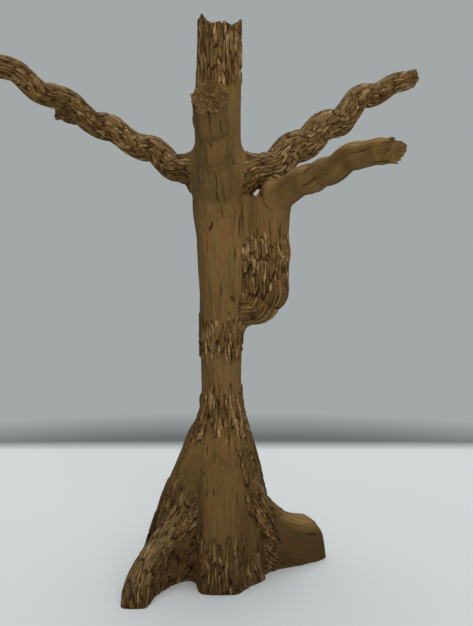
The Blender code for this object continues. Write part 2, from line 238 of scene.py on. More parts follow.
class Nodes:
    """A node tree that is filled step by step."""

    def __init__(self, tree: bpy.types.NodeTree) -> None:
        """Keeps the tree.

        Args:
            tree: The tree to fill.
        """
        self.tree = tree

    def add(self, kind: str, **settings: object) -> bpy.types.Node:
        """Adds a node.

        Args:
            kind: The node's type without its ShaderNode prefix.
            settings: Properties of the node, by name.

        Returns:
            The new node.
        """
        node = self.tree.nodes.new(kind if kind.startswith("NodeGroup") else "ShaderNode" + kind)
        for name, value in settings.items():
            setattr(node, name, value)
        return node

    def feed(self, socket: Socket, value: Given) -> None:
        """Links a socket to another, or sets it.

        Args:
            socket: The socket, an input.
            value: The output that feeds it, or its value.
        """
        if isinstance(value, Socket):
            self.tree.links.new(value, socket)
        else:
            socket.default_value = value

    def maths(self, operation: str, *values: Given) -> Socket:
        """Adds a Math node.

        Args:
            operation: What it works out.
            values: Its inputs, as sockets or numbers.

        Returns:
            Its output.
        """
        node = self.add("Math", operation=operation)
        for socket, value in zip(node.inputs, values):
            self.feed(socket, value)
        return node.outputs[0]

    def sum_of(self, first: tuple[Socket, float], second: tuple[Socket, float]) -> Socket:
        """Adds up two sockets' values, each times its own factor."""
        return self.maths("ADD", self.maths("MULTIPLY", *first), self.maths("MULTIPLY", *second))

    def blend(self, share: Given, first: Given, second: Given, mode: str = "MIX") -> Socket:
        """Mixes two colours.

        Args:
            share: How much of the second there is.
            first: A colour or its socket.
            second: Another.
            mode: How they are mixed.

        Returns:
            The mixed colour.
        """
        node = self.add("Mix", data_type="RGBA", blend_type=mode)
        for number, value in ((0, share), (6, first), (7, second)):
            self.feed(node.inputs[number], value)
        return node.outputs[2]

    def spread(self, value: Given, low: float, high: float, start: float = 0.0, end: float = 1.0) -> Socket:
        """Stretches the values between low and high over start to end, and holds the rest at them.

        Args:
            value: The values.
            low: The value that becomes start.
            high: The value that becomes end.
            start: The first of the new values.
            end: The last of them.

        Returns:
            The new values.
        """
        node = self.add("MapRange", clamp=True)
        for socket, given in zip(node.inputs, (value, low, high, start, end)):
            self.feed(socket, given)
        return node.outputs[0]

    def noise(self, place: Socket, scale: tuple[float, float, float], detail: float, warp: float) -> Socket:
        """Adds noise that is stretched along a limb.

        Args:
            place: The socket of the places.
            scale: How fine it is on each axis.
            detail: How many finer layers it has.
            warp: How far it is distorted.

        Returns:
            The noise's value.
        """
        mapping = self.add("Mapping")
        self.feed(mapping.inputs["Vector"], place)
        mapping.inputs["Scale"].default_value = scale
        node = self.add("TexNoise")
        self.feed(node.inputs["Vector"], mapping.outputs[0])
        node.inputs["Scale"].default_value = 1.0
        node.inputs["Detail"].default_value = detail
        node.inputs["Distortion"].default_value = warp
        return node.outputs["Fac"]


def new_group(name: str, takes: dict[str, tuple[str, object]], gives: dict[str, str]) -> Nodes:
    """Starts a shader node group with named sockets.

    Args:
        name: The group's name.
        takes: Its inputs: for each name, the kind of socket and its value when nothing is given.
        gives: Its outputs: for each name, the kind of socket.

    Returns:
        The group's nodes, with its input and output nodes in place.
    """
    tree = bpy.data.node_groups.new(name, "ShaderNodeTree")
    for title, (kind, value) in takes.items():
        socket = tree.interface.new_socket(title, in_out="INPUT", socket_type="NodeSocket" + kind)
        if value is not None:
            socket.default_value = value
    for title, kind in gives.items():
        tree.interface.new_socket(title, in_out="OUTPUT", socket_type="NodeSocket" + kind)
    nodes = Nodes(tree)
    nodes.add("NodeGroupInput")
    nodes.add("NodeGroupOutput")
    return nodes


COVER_GIVES = {"Colour": "Color", "Roughness": "Float", "Height": "Float"}


def close_group(nodes: Nodes, *values: Socket) -> bpy.types.NodeTree:
    """Feeds a group's outputs in their order.

    Args:
        nodes: The group's nodes.
        values: What feeds each output.

    Returns:
        The finished group.
    """
    for socket, value in zip(nodes.tree.nodes["Group Output"].inputs, values):
        nodes.feed(socket, value)
    return nodes.tree


@dataclass(frozen=True)
class BarkFinish:
    """Old dead bark: narrow plates of many browns over dark furrows."""

    dark: Colour = (64, 45, 22)
    olive: Colour = (97, 80, 36)
    brown: Colour = (104, 76, 41)
    tan: Colour = (148, 122, 78)
    rust: Colour = (106, 70, 40)
    furrow: Colour = (40, 24, 7)
    # the pale colour painted as light on the bark where it faces up
    bleached_and_lit: Colour = (158, 136, 100)
    painted_shade: Colour = (204, 200, 196)  # the tint of the painted shade, darker towards the bottom
    grain: float = 1.0  # how fine its scales are

    def group(self) -> bpy.types.NodeTree:
        """Builds the group that gives the bark's colour, roughness and height.

        Returns:
            The group's node tree.
        """
        takes = {
            "Lie": ("Vector", None), "Tone": ("Float", 0.5), "Furrow": ("Float", 0.0),
            "Painted top light": ("Float", 0.0), "Painted shade": ("Float", 0.0), "Painted shade colour": ("Color", linear(self.painted_shade)),
            "Dark": ("Color", linear(self.dark)), "Olive": ("Color", linear(self.olive)),
            "Brown": ("Color", linear(self.brown)), "Tan": ("Color", linear(self.tan)),
            "Rust": ("Color", linear(self.rust)), "Furrow colour": ("Color", linear(self.furrow)),
            "Bleached and lit": ("Color", linear(self.bleached_and_lit)),
        }  # fmt: skip
        nodes = new_group("Dead_bark", takes, COVER_GIVES)
        given = nodes.tree.nodes["Group Input"].outputs
        lie, tone = given["Lie"], given["Tone"]
        fine, coarse = self.grain * 60.0, self.grain * 9.0
        scales = nodes.noise(lie, (fine, fine, self.grain * 22.0), 6.0, 0.4)
        fibre = nodes.noise(lie, (self.grain * 95, self.grain * 95, self.grain * 7), 3.0, 0.2)
        drift = nodes.noise(lie, (coarse, coarse, 1.6), 3.0, 0.6)
        mixed = nodes.maths("ADD", tone, nodes.maths("MULTIPLY", nodes.maths("SUBTRACT", drift, 0.5), 0.7))
        colour = given["Dark"]
        for name, low, high in (("Olive", 0.06, 0.20), ("Brown", 0.32, 0.42), ("Tan", 0.59, 0.71)):
            colour = nodes.blend(nodes.spread(mixed, low, high), colour, given[name])
        rusty = nodes.spread(nodes.maths("FRACT", nodes.maths("MULTIPLY", tone, 7.31)), 0.74, 0.80)
        colour = nodes.blend(nodes.maths("MULTIPLY", rusty, 0.65), colour, given["Rust"])
        lights = nodes.maths("MULTIPLY", nodes.spread(scales, 0.50, 0.74), 0.30)
        colour = nodes.blend(lights, colour, given["Tan"])
        darks = nodes.maths("MULTIPLY", nodes.spread(fibre, 0.52, 0.36), 0.50)
        colour = nodes.blend(darks, colour, given["Dark"])
        streak = nodes.noise(lie, (self.grain * 30, self.grain * 30, self.grain * 3.4), 4.0, 0.5)
        streaks = nodes.maths("MULTIPLY", nodes.spread(streak, 0.47, 0.36), 0.75)
        colour = nodes.blend(streaks, colour, given["Furrow colour"])
        # Painted light: the bark's scales are paler where it faces up.
        pale = nodes.maths("MULTIPLY", given["Painted top light"], nodes.spread(scales, 0.42, 0.62))
        colour = nodes.blend(nodes.maths("MULTIPLY", pale, 0.45), colour, given["Bleached and lit"])
        colour = nodes.blend(given["Furrow"], colour, given["Furrow colour"])
        # Painted shade: the colour is darkened towards the bottom and where the bark doesn't face up.
        colour = nodes.blend(given["Painted shade"], colour, given["Painted shade colour"], "MULTIPLY")
        height = nodes.sum_of((scales, 0.65), (fibre, 0.35))
        return close_group(nodes, colour, nodes.spread(scales, 0.3, 0.7, 0.96, 0.84), height)


@dataclass(frozen=True)
class BareWoodFinish:
    """Wood that has lost its bark: brown with olive and rusty stains, fine grain and dark drying cracks."""

    base: Colour = (104, 79, 42)
    olive: Colour = (92, 77, 36)
    rust: Colour = (112, 74, 40)
    crack: Colour = (40, 26, 10)
    # pale strands: real bleaching a little everywhere, and painted light where the wood faces up
    bleached_and_lit: Colour = (150, 118, 70)
    # the tint of the painted shade, darker towards the bottom
    painted_shade: Colour = (170, 166, 160)
    grain: float = 1.0  # how fine its fibres are

    def group(self) -> bpy.types.NodeTree:
        """Builds the group that gives the bare wood's colour, roughness and height.

        Returns:
            The group's node tree.
        """
        takes = {
            "Lie": ("Vector", None), "Crack": ("Float", 0.0), "Painted top light": ("Float", 0.0),
            "Painted shade": ("Float", 0.0), "Painted shade colour": ("Color", linear(self.painted_shade)),
            "Base": ("Color", linear(self.base)), "Olive": ("Color", linear(self.olive)),
            "Rust": ("Color", linear(self.rust)), "Crack colour": ("Color", linear(self.crack)),
            "Bleached and lit": ("Color", linear(self.bleached_and_lit)),
        }  # fmt: skip
        nodes = new_group("Bare_wood", takes, COVER_GIVES)
        given = nodes.tree.nodes["Group Input"].outputs
        lie = given["Lie"]
        fibre = nodes.noise(lie, (self.grain * 120, self.grain * 120, self.grain * 3.2), 4.0, 0.15)
        strand = nodes.noise(lie, (self.grain * 26, self.grain * 26, 1.1), 5.0, 0.3)
        stain = nodes.noise(lie, (6.0, 6.0, 0.8), 5.0, 0.5)
        other = nodes.noise(lie, (9.0, 9.0, 1.3), 5.0, 0.6)
        colour = nodes.blend(nodes.spread(stain, 0.52, 0.38, 0.0, 0.8), given["Base"], given["Olive"])
        colour = nodes.blend(nodes.spread(other, 0.52, 0.68, 0.0, 0.6), colour, given["Rust"])
        # Pale strands: a little everywhere as real bleaching, and more where the wood faces up as painted
        # light.
        pale = nodes.maths("ADD", nodes.maths("MULTIPLY", given["Painted top light"], 0.75), 0.12)
        pale = nodes.maths("MULTIPLY", pale, nodes.spread(strand, 0.40, 0.64))
        colour = nodes.blend(pale, colour, given["Bleached and lit"])
        lines = nodes.maths("MULTIPLY", nodes.spread(fibre, 0.50, 0.33), 0.42)
        colour = nodes.blend(lines, colour, given["Crack colour"])
        hair = nodes.maths("MULTIPLY", nodes.spread(strand, 0.42, 0.30), 0.50)
        colour = nodes.blend(hair, colour, given["Crack colour"])
        colour = nodes.blend(given["Crack"], colour, given["Crack colour"])
        # Painted shade: the colour is darkened towards the bottom and where the wood doesn't face up.
        colour = nodes.blend(given["Painted shade"], colour, given["Painted shade colour"], "MULTIPLY")
        height = nodes.sum_of((fibre, 0.45), (strand, 0.55))
        return close_group(nodes, colour, nodes.spread(fibre, 0.3, 0.7, 0.90, 0.74), height)


@dataclass(frozen=True)
class DeadWood:
    """The finish of a limb: bark where it still holds, and bare wood elsewhere."""

    name: str
    bark_relief: float = 0.010  # how far the finest scales of the bark stand up
    wood_relief: float = 0.004
    sheen: float = 0.12  # dead wood hardly shines

    def material(self, bark: bpy.types.NodeTree, wood: bpy.types.NodeTree) -> bpy.types.Material:
        """Builds the material.

        Args:
            bark: The group of the bark.
            wood: The group of the bare wood.

        Returns:
            The material, which reads the values that each skin carries.
        """
        made = bpy.data.materials.new(self.name)
        made.use_nodes = True
        nodes = Nodes(made.node_tree)
        shader = made.node_tree.nodes["Principled BSDF"]
        read = {}
        for title in ("lie", "barked", "furrow", "tone", "painted_top_light", "painted_shade"):
            node = nodes.add("Attribute", attribute_name=title)
            read[title] = node.outputs["Vector" if title == "lie" else "Fac"]
        layers = []  # bark and wood, each with which of the skin's values feeds which input
        for tree, values in (
            (bark, {"Lie": "lie", "Tone": "tone", "Furrow": "furrow", "Painted top light": "painted_top_light", "Painted shade": "painted_shade"}),
            (wood, {"Lie": "lie", "Crack": "furrow", "Painted top light": "painted_top_light", "Painted shade": "painted_shade"}),
        ):
            layer = nodes.add("Group", node_tree=tree)
            for socket, title in values.items():
                nodes.feed(layer.inputs[socket], read[title])
            layers.append(layer)
        barked = nodes.spread(read["barked"], 0.35, 0.65)
        colour = nodes.blend(barked, layers[1].outputs["Colour"], layers[0].outputs["Colour"])
        nodes.feed(shader.inputs["Base Color"], colour)
        mixed = []
        for title in ("Roughness", "Height"):
            node = nodes.add("Mix", data_type="FLOAT")
            for number, value in ((0, barked), (2, layers[1].outputs[title]), (3, layers[0].outputs[title])):
                nodes.feed(node.inputs[number], value)
            mixed.append(node.outputs[0])
        rough, high = mixed
        nodes.feed(shader.inputs["Roughness"], rough)
        bump = nodes.add("Bump")
        lift = nodes.spread(barked, 0.0, 1.0, self.wood_relief, self.bark_relief)
        nodes.feed(bump.inputs["Height"], nodes.maths("MULTIPLY", high, lift))
        for title in ("Strength", "Distance"):
            bump.inputs[title].default_value = 1.0
        nodes.feed(shader.inputs["Normal"], bump.outputs[0])
        shader.inputs["Specular IOR Level"].default_value = self.sheen
        return made


# --------------------------------------------------------------------------------------------------
# Skins
# --------------------------------------------------------------------------------------------------


class Condition(Enum):
    """What covers a stretch of a limb."""

    BARKED = "bark"
    BARE = "bare_wood"


@dataclass(frozen=True)
class Patch:
    """A place where a limb is covered otherwise than the rest of it: between two heights, round a heading
    and between two distances from the trunk's middle."""

    low: float = -1.0
    high: float = 20.0
    heading: float = 0.0  # degrees from +X towards +Y
    spread: float = 400.0  # degrees in all
    near: float = -1.0
    far: float = 20.0

    def depth(self, points: Array) -> Array:
        """Measures how far points lie within the patch.

        Args:
            points: The points, with the axes last.

        Returns:
            Their depths in metres, negative outside the patch.
        """
        away = np.hypot(points[..., 0], points[..., 1])
        turned = np.degrees(np.arctan2(points[..., 1], points[..., 0])) - self.heading
        aside = np.abs((turned + 180) % 360 - 180)
        depths = (
            points[..., 2] - self.low,
            self.high - points[..., 2],
            np.radians(self.spread / 2 - aside) * np.maximum(away, 0.3),
            away - self.near,
            self.far - away,
        )
        return np.minimum.reduce(depths)


@dataclass
class Skin:
    """A limb's surface as a sheet of rows along the limb and columns round it."""

    place: Array  # rows, columns, 3
    out: Array  # rows, columns, 3: the way that it grows
    across: Array  # rows, columns: metres across the grain
    along: Array  # rows, columns: metres along the grain
    girth: float  # how many metres across the grain until the sheet meets itself, or 0 where it doesn't
    values: dict[str, Array] = field(default_factory=dict)

    def normals(self) -> Array:
        """Works out which way the sheet faces.

        Returns:
            The outward direction at each place, square to the sheet and one long.
        """
        down, over = np.gradient(self.place, axis=0), np.gradient(self.place, axis=1)
        square = np.cross(over, down)
        square /= np.maximum(np.linalg.norm(square, axis=-1, keepdims=True), 1e-12)
        return square * np.sign(np.sum(square * self.out, axis=-1, keepdims=True) + 1e-12)


@dataclass(frozen=True)
class Relief:
    """The plates of the bark, and the flutes, cracks and knots of the bare wood, of one limb."""

    plate_width: float = 0.090
    plate_length: float = 0.80
    depth: float = 0.036  # from the top of a plate to the bottom of a furrow
    seed: int = 1
    condition: Condition = Condition.BARKED
    patches: tuple[Patch, ...] = ()
    gnarl: float = 1.0  # how strongly the bare wood is fluted
    crack_spacing: tuple[float, float] = (0.26, 1.15)  # across the grain and along it
    crack_width: float = 0.013
    cracked: float = 0.42  # the share of the places for a crack that have one
    knot_spacing: tuple[float, float] = (0.75, 1.3)
    knotty: float = 0.34  # the share of the places for a knot that have one

    def carve(self, skin: Skin) -> Array:
        """Works out the relief of a skin, and notes on the skin what its finish needs.

        Args:
            skin: The skin, which gets the values barked, furrow and tone.

        Returns:
            How far each point stands out from the skin.
        """
        lie, width, length = skin.values["lie"], self.plate_width, self.plate_length
        wander = 0.42 * self._ripple(lie, (2.2, 2.2, 1.1), 11) + 0.20 * self._ripple(lie, (6, 6, 2.6), 12)
        ragged = 0.13 * self._ripple(lie, (24, 24, 13), 14)
        plates = self._lay(skin, width, length, wander + ragged, 0)
        chips = self._lay(skin, 0.62 * width, 0.24 * length, 1.5 * wander + ragged, 5)
        barked = self._barked(skin, plates)
        bark, furrow = self._bark(plates, chips, lie)
        wood, crack = self._wood(skin, lie)
        skin.values["barked"] = barked
        skin.values["furrow"] = np.where(barked > 0.5, furrow, crack)
        skin.values["tone"] = 0.45 * plates.tone + 0.55 * chips.tone
        return np.where(barked > 0.5, bark, wood)

    def _ripple(self, points: Array, scale: float | tuple[float, float, float], number: int) -> Array:
        """This limb's own smooth noise of a number, with so many lattice cells to a metre on each axis."""
        return ripple(points * scale, self.seed + number)

    def _lay(self, skin: Skin, width: float, length: float, shift: Array, number: int) -> Cells:
        """Lays cells of a size over a skin, whole ones all the way round.

        Args:
            skin: The skin.
            width: A cell's size across the grain.
            length: Its size along the grain.
            shift: How far each place is shifted across, in cells.
            number: Which of the limb's own patterns it is.

        Returns:
            The cells as the skin's points see them.
        """
        columns = max(round(skin.girth / width), 1) if skin.girth else 0
        width = skin.girth / columns if columns else width
        slip = 0.4 * self._ripple(skin.values["lie"], (5, 5, 0.8), number + 13)
        return lay_cells(skin.across / width + shift, skin.along / length + slip, columns, self.seed + number)

    def _barked(self, skin: Skin, plates: Cells) -> Array:
        """Decides plate by plate whether the bark still holds.

        Args:
            skin: The skin.
            plates: Its plates of bark.

        Returns:
            1 where the bark holds and 0 where it is gone.
        """
        points = skin.place
        inside = np.full(points.shape[:-1], -FAR_OFF)
        for patch in self.patches:
            inside = np.maximum(inside, patch.depth(points))
        inside = inside + 0.14 * self._ripple(points, 2.1, 21) + 0.08 * (plates.level - 0.5)
        _, own = np.unique(plates.number, return_inverse=True)
        own = own.reshape(plates.number.shape)
        mean = np.bincount(own.ravel(), inside.ravel()) / np.bincount(own.ravel())
        other = 0.5 * mean[own] + 0.5 * inside > 0
        return np.where(other == (self.condition is Condition.BARKED), 0.0, 1.0)

    def _bark(self, plates: Cells, chips: Cells, lie: Array) -> tuple[Array, Array]:
        """Models the plates of the bark and the small chips that they split into.

        Args:
            plates: The plates.
            chips: The chips.
            lie: Where each place lies in the grain.

        Returns:
            The bark's height, and how deep in a furrow each place lies, from 0 to 1.
        """
        rise = step_up(0.04, 0.24, plates.edge)
        chip = step_up(0.0, 0.14, chips.edge)
        sunk = step_up(0.16, 0.06, chips.level)  # a few chips have flaked off
        top = 0.30 * (plates.level - 0.5) + 0.16 * (chips.tone - 0.5) - 0.40 * sunk - 0.20 * (1 - chip)
        rough = 0.11 * self._ripple(lie, (34, 34, 9), 31) + 0.06 * self._ripple(lie, (70, 70, 28), 32)
        height = self.depth * (0.45 - (1 - rise) + top * rise + rough)
        furrow = 1.1 * (1 - step_up(0.0, 0.20, plates.edge)) + 0.45 * sunk + 0.35 * (1 - chip)
        return height, np.clip(furrow, 0, 1)

    def _wood(self, skin: Skin, lie: Array) -> tuple[Array, Array]:
        """Models the flutes, drying cracks and knots of the bare wood.

        Args:
            skin: The skin.
            lie: Where each place lies in the grain.

        Returns:
            The wood's height, and how deep in a crack or knot each place lies, from 0 to 1.
        """
        flutes = 0.30 * self._ripple(lie, (4.6, 4.6, 0.55), 41) + 0.16 * self._ripple(lie, (13, 13, 1.3), 42)
        fibre = 0.07 * self._ripple(lie, (30, 30, 2.6), 43)
        bend = 0.10 * self._ripple(lie, (3, 3, 2.2), 44)
        aside, ahead = self.crack_spacing
        splits = self._lay(skin, aside, ahead, bend, 46)
        spindle = (splits.aside * aside / self.crack_width) ** 2
        spindle = spindle + (splits.ahead / (0.16 + 0.34 * splits.level)) ** 2
        crack = step_up(1.0, 0.15, spindle) * (splits.tone < self.cracked)
        aside, ahead = self.knot_spacing
        knots = self._lay(skin, aside, ahead, 0 * bend, 47)
        away = np.hypot(knots.aside * aside, knots.ahead * ahead * 0.72) / (0.07 + 0.05 * knots.level)
        knotty = knots.tone < self.knotty
        lip = knotty * (np.exp(-((away - 1.05) ** 2) / 0.10) - 0.9 * step_up(0.95, 0.25, away))
        eye = knotty * step_up(0.85, 0.45, away)
        height = self.depth * (-0.30 + self.gnarl * flutes + fibre - 0.80 * crack + 0.62 * lip)
        return height, np.clip(crack + 0.8 * eye, 0, 1)


def close_break(rim: Array, ahead: Array, radius: float, rows: int, seed: int) -> tuple[Array, Array]:
    """Models the splintered wood inside the broken end of a limb.

    Args:
        rim: The places of the rim, one for each column.
        ahead: The way that the limb points.
        radius: The limb's radius there.
        rows: How many rows run in from the rim to the middle.
        seed: Which break it is.

    Returns:
        The rows' places, and how deep each lies among the splinters, from 0 to 1.
    """
    middle = rim.mean(axis=0)
    share = (1 - np.arange(1, rows + 1) / rows)[:, None, None]
    flat = middle + (rim - middle) * share
    offset = flat - middle
    side = np.cross(ahead, (0.3, 0.9, 0.2))
    side /= np.linalg.norm(side)
    up = np.cross(ahead, side)
    bundles = lay_cells(offset @ side / BUNDLE + 20, offset @ up / BUNDLE + 20, 0, seed)
    threads = lay_cells(offset @ side / THREAD + 50, offset @ up / THREAD + 50, 0, seed + 3)
    inside = 1 - share[..., 0] ** 6
    sunk = BUNDLE_DROP * bundles.level**2 + THREAD_DROP * threads.level**2
    lift = radius * (-DISH * (1 - share[..., 0] ** 2) - sunk * inside)
    lift[-1, :] = lift[-1, :].mean()
    gaps = 0.40 * step_up(0.16, 0.02, bundles.edge) + 0.22 * step_up(0.14, 0.0, threads.edge)
    deep = gaps + 0.30 * bundles.level**2
    return flat + ahead * lift[..., None], deep


def roll_skin(name: str, places: Array, values: dict[str, Array]) -> bpy.types.Object:
    """Rolls a flat sheet round a limb and joins its edges into a closed skin.

    Args:
        name: The piece's name.
        places: Rows of places. The first and last columns coincide, and so do all places of the first row
            and of the last one.
        values: What each place carries for the finish.

    Returns:
        The new object.
    """
    rows, columns = places.shape[:2]
    sheet = bmesh.new()
    bmesh.ops.create_grid(sheet, x_segments=columns - 1, y_segments=rows - 1, size=1.0)
    data = bpy.data.meshes.new(name)
    sheet.to_mesh(data)
    sheet.free()
    data.vertices.foreach_set("co", places.astype(np.float32).ravel())
    for title, value in values.items():
        kind, key = ("FLOAT_VECTOR", "vector") if value.ndim == 3 else ("FLOAT", "value")
        layer = data.attributes.new(title, kind, "POINT")
        layer.data.foreach_set(key, value.astype(np.float32).ravel())
    closed = bmesh.new()
    closed.from_mesh(data)
    bmesh.ops.remove_doubles(closed, verts=closed.verts, dist=1e-5)
    bmesh.ops.dissolve_degenerate(closed, edges=closed.edges, dist=1e-6)
    bmesh.ops.recalc_face_normals(closed, faces=closed.faces)
    if closed.calc_volume(signed=True) < 0:
        bmesh.ops.reverse_faces(closed, faces=closed.faces)
    closed.to_mesh(data)
    closed.free()
    data.shade_smooth()
    made = bpy.data.objects.new(name, data)
    bpy.context.scene.collection.objects.link(made)
    return made


# --------------------------------------------------------------------------------------------------
# Limbs
# --------------------------------------------------------------------------------------------------


@dataclass(kw_only=True)
class Limb(ABC):
    """A trunk, bough or root: its own sizes, its skin, and how that flows into its neighbours."""

    name: str
    relief: Relief
    finish: DeadWood
    neighbours: dict[str, float] = field(default_factory=dict)  # how wide it flows into each
    watch: float = 0.8  # how near a neighbour has to be to be heeded
    sink: float = 0.05  # how far the skin sinks where a neighbour hides it
    seam_calm: float = 0.5  # how much lower the relief is at a seam with a neighbour
    seam_shade: float = 0.14  # how much painted shade, in the colour of a furrow, a seam with a neighbour gets

    @abstractmethod
    def outside(self, points: Array) -> Array:
        """How far points are outside the limb. It is negative inside."""

    @abstractmethod
    def skin(self) -> Skin:
        """The limb's plain skin."""

    @abstractmethod
    def close(self, skin: Skin) -> tuple[Array, dict[str, Array]]:
        """Adds the rows that close a skin's ends.

        Args:
            skin: The limb's finished skin.

        Returns:
            All rows' places and what they carry.
        """

    def flow(self, skin: Skin, tree: dict[str, "Limb"]) -> Array:
        """Grows a skin towards its neighbours, so that they flow into one another, and sinks what is hidden.

        Args:
            skin: The skin, whose places move.
            tree: All limbs by name.

        Returns:
            1 where the skin meets another, falling to 0 away from it.
        """
        shape = skin.place.shape[:-1]
        easing = skin.values.pop("easing", np.ones(shape))
        growth, gap = np.zeros(shape), np.full(shape, FAR_OFF)
        for name in self.neighbours:
            gap = np.minimum(gap, tree[name].outside(skin.place))
        near = gap < self.watch
        start, out, easing = skin.place[near], skin.out[near], easing[near]
        grown, least = np.zeros(len(start)), gap[near]
        for _ in range(6):  # each round brings it closer to where the two skins agree
            points = start + out * grown[:, None]
            wanted, least = np.zeros(len(start)), np.full(len(start), FAR_OFF)
            for name, width in self.neighbours.items():
                away = tree[name].outside(points)
                lift = (math.sqrt(width) - np.sqrt(np.clip(away, 0, width))) ** 2
                wanted = np.maximum(wanted, np.where(away < width / 4, width / 4, lift))
                least = np.minimum(least, away)
            grown += 0.6 * (wanted * easing - grown)
        growth[near], gap[near] = grown, least
        buried = growth - gap
        skin.place = skin.place + skin.out * (growth - self.sink * step_up(0.0, 0.10, buried))[..., None]
        return step_up(0.05, 0.0, np.abs(buried))

    def build(self, tree: dict[str, "Limb"], box: tuple[Array, Array]) -> bpy.types.Object:
        """Makes the limb's piece.

        Args:
            tree: All limbs by name.
            box: The lowest and highest corner that no piece may pass.

        Returns:
            The new piece, without its finish.
        """
        skin = self.skin()
        seam = self.flow(skin, tree)
        square = skin.normals()
        relief = self.relief.carve(skin)
        relief = relief + skin.values.pop("ribs", 0.0) * skin.values["barked"]
        pace = np.linalg.norm(np.gradient(skin.place, axis=0), axis=-1)
        relief = relief * step_up(0.004, 0.020, pace)  # none where a toe's rows crowd together
        # Painted shade in the crease where two limbs meet.
        skin.values["furrow"] = np.maximum(skin.values["furrow"], self.seam_shade * seam)
        skin.place = skin.place + square * (relief * (1 - self.seam_calm * seam))[..., None]
        skin.values["painted_top_light"] = step_up(0.30, 0.95, square[..., 2])  # painted light: what faces up is paler
        # Painted shade: the wood is darker towards the bottom of the tree and where it doesn't face up.
        height = skin.place[..., 2]
        painted_shade = sum(share * step_up(dry, wet, height) for share, dry, wet in PAINTED_SHADE_LAYERS)
        skin.values["painted_shade"] = painted_shade * np.clip(1.2 - 1.2 * square[..., 2], 0, 1)  # less painted shade where the surface faces up
        places, values = self.close(skin)
        return roll_skin(self.name + "_surface", np.clip(places, *box), values)

    def dress(self, piece: bpy.types.Object, material: bpy.types.Material) -> None:
        """Gives the piece its finish and sets it in the place of the limb's solid.

        Args:
            piece: The limb's piece.
            material: Its finish.
        """
        piece.data.materials.append(material)
        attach(piece, "root")
        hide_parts(self.name)


@dataclass(kw_only=True)
class Trunk(Limb):
    """The trunk, upright from a flat cut at the ground to its snapped top."""

    # Height, sideways shift, shift away from the front, radius.
    line: tuple[tuple[float, float, float, float], ...]
    mean_radius: float = 0.52
    winding: float = 0.06  # radians that the grain winds in each metre
    columns: int = 224
    rows: int = 398
    snap_reach: float = 0.7  # how far below its top the break begins
    snap_depth: float = 0.16  # how far the rim of the break rises and falls
    teeth: int = 38  # splinters round the rim
    tooth_depth: float = 0.09
    break_rows: int = 40

    def __post_init__(self) -> None:
        """Draws the centre line once, in steps of a centimetre."""
        line = np.array(self.line)
        levels = line[:, 0]
        self.levels = np.linspace(0, levels[-1], 1300)
        k = np.clip(np.searchsorted(levels, self.levels, side="right") - 1, 0, len(levels) - 2)
        t = ((self.levels - levels[k]) / (levels[k + 1] - levels[k]))[:, None]
        a, b, c, d = (line[np.clip(k + shift, 0, len(line) - 1), 1:] for shift in (-1, 0, 1, 2))
        self.course = between(a, b, c, d, t)

    def at(self, height: Array) -> tuple[Array, Array, Array]:
        """The centre's two shifts and the radius at heights."""
        return tuple(np.interp(height, self.levels, values) for values in self.course.T)

    def outside(self, points: Array) -> Array:
        """Measures how far points are outside the trunk.

        Args:
            points: The points, with the axes last.

        Returns:
            Their distances, negative inside the trunk.
        """
        x, y, radius = self.at(points[..., 2])
        dx, dy = points[..., 0] - x, points[..., 1] - y
        level = np.clip(points[..., 2], 0, self.levels[-1])
        return np.hypot(dx, dy) - radius * (1 + fluting(np.arctan2(dy, dx), level, 0.0))

    def skin(self) -> Skin:
        """Rolls the trunk's plain skin.

        Returns:
            The skin, with its ribs noted on it.
        """
        angle, height = np.meshgrid(
            np.linspace(0, math.tau, self.columns + 1), np.linspace(0, self.levels[-1], self.rows)
        )
        x, y, radius = self.at(height)
        reach = radius * (1 + fluting(angle, height, 0.0))
        out = np.stack((np.cos(angle), np.sin(angle), np.zeros(angle.shape)), axis=-1)
        place = np.stack((x, y, height), axis=-1) + out * reach[..., None]
        mean = self.mean_radius
        turned = angle + self.winding * height
        lie = np.stack((mean * np.cos(turned), mean * np.sin(turned), height), axis=-1)
        count, rib, wander, pace = BARK_RIBS
        ribs = rib * np.sin(count * (angle + FLUTE_TWIST * height) + wander * np.sin(pace * height))
        return Skin(place, out, mean * turned, height, mean * math.tau, {"lie": lie, "ribs": ribs})

    def close(self, skin: Skin) -> tuple[Array, dict[str, Array]]:
        """Adds the flat cut at the ground and the splintered break at the top.

        Args:
            skin: The trunk's finished skin.

        Returns:
            All rows' places and what they carry.
        """
        place = skin.place
        angle = np.linspace(0, math.tau, place.shape[1])
        splinter = 0.6 * np.sin(2 * angle + 0.8) + 0.4 * np.sin(5 * angle + 2.0)
        share = step_up(self.levels[-1] - self.snap_reach, self.levels[-1], place[..., 2])
        tooth = lay_cells(angle / math.tau * self.teeth, np.zeros(angle.shape), self.teeth, 77)
        place[..., 2] += share * (self.snap_depth * splinter - self.tooth_depth * tooth.level**2)
        place[0, :, 2] = 0.0
        ahead = np.array((0.0, 0.0, 1.0))
        inner, deep = close_break(place[-1], ahead, self.course[-1, 2], self.break_rows, 78)
        middle = np.broadcast_to(place[0].mean(axis=0) * (1, 1, 0), place[0].shape)
        places = np.concatenate((middle[None], place, inner))
        return join_rows(places, skin, deep)


def join_rows(places: Array, skin: Skin, deep: Array | None) -> tuple[Array, dict[str, Array]]:
    """Gives a closed sheet's end rows what they carry, and makes its last column the same as its first.

    Args:
        places: All rows' places: one before the skin's own, and those of the break after them.
        skin: The finished skin.
        deep: How deep the places of the break lie among its splinters, or None where there is one plain
            last row.

    Returns:
        All rows' places and what they carry.
    """
    ends = places.shape[0] - 1 - skin.place.shape[0]
    values = {}
    for title, value in skin.values.items():
        last = np.repeat(value[-1:], ends, axis=0)
        if deep is not None and title in ("barked", "painted_top_light"):
            last = np.zeros(last.shape)
        if deep is not None and title == "furrow":
            last = deep
        if deep is not None and title == "lie":
            last = last + (places[-ends:] - places[-ends - 1])
        values[title] = np.concatenate((value[:1], value, last))
    for array in (places, *values.values()):
        array[:, -1] = array[:, 0]
    return places, values


